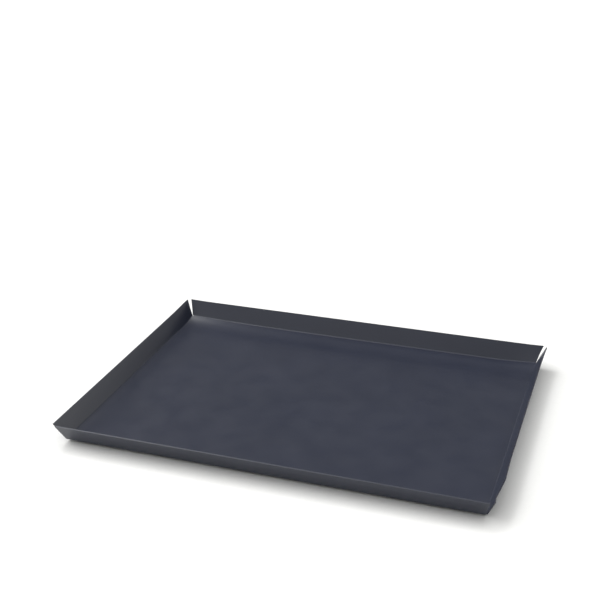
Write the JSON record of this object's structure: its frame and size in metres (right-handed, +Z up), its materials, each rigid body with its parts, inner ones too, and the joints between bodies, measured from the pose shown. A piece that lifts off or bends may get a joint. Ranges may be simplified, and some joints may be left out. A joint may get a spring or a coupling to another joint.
{
  "type": "folded metal tray",
  "caption": "Shallow rectangular tray folded from one coated steel sheet, with outward-leaning walls, open slits at its corners and stick-on rubber feet.",
  "frame": {"origin": "middle of the surface that the feet stand on, under the middle of the floor", "axes": "+X along the tray's long side, -Y towards its front, +Z up"},
  "size_m": [0.3998, 0.2998, 0.0204],
  "materials": {
    "slate_powder_coat": "fine matt powder coat",
    "black_rubber": "moulded, matt",
    "acrylic_adhesive": "thin film"
  },
  "bodies": {
    "root": {"tray_pan": "slate_powder_coat", "foot_front_left": "black_rubber", "foot_front_right": "black_rubber", "foot_rear_left": "black_rubber", "foot_rear_right": "black_rubber", "adhesive_front_left": "acrylic_adhesive", "adhesive_front_right": "acrylic_adhesive", "adhesive_rear_left": "acrylic_adhesive", "adhesive_rear_right": "acrylic_adhesive"}
  },
  "joints": []
}
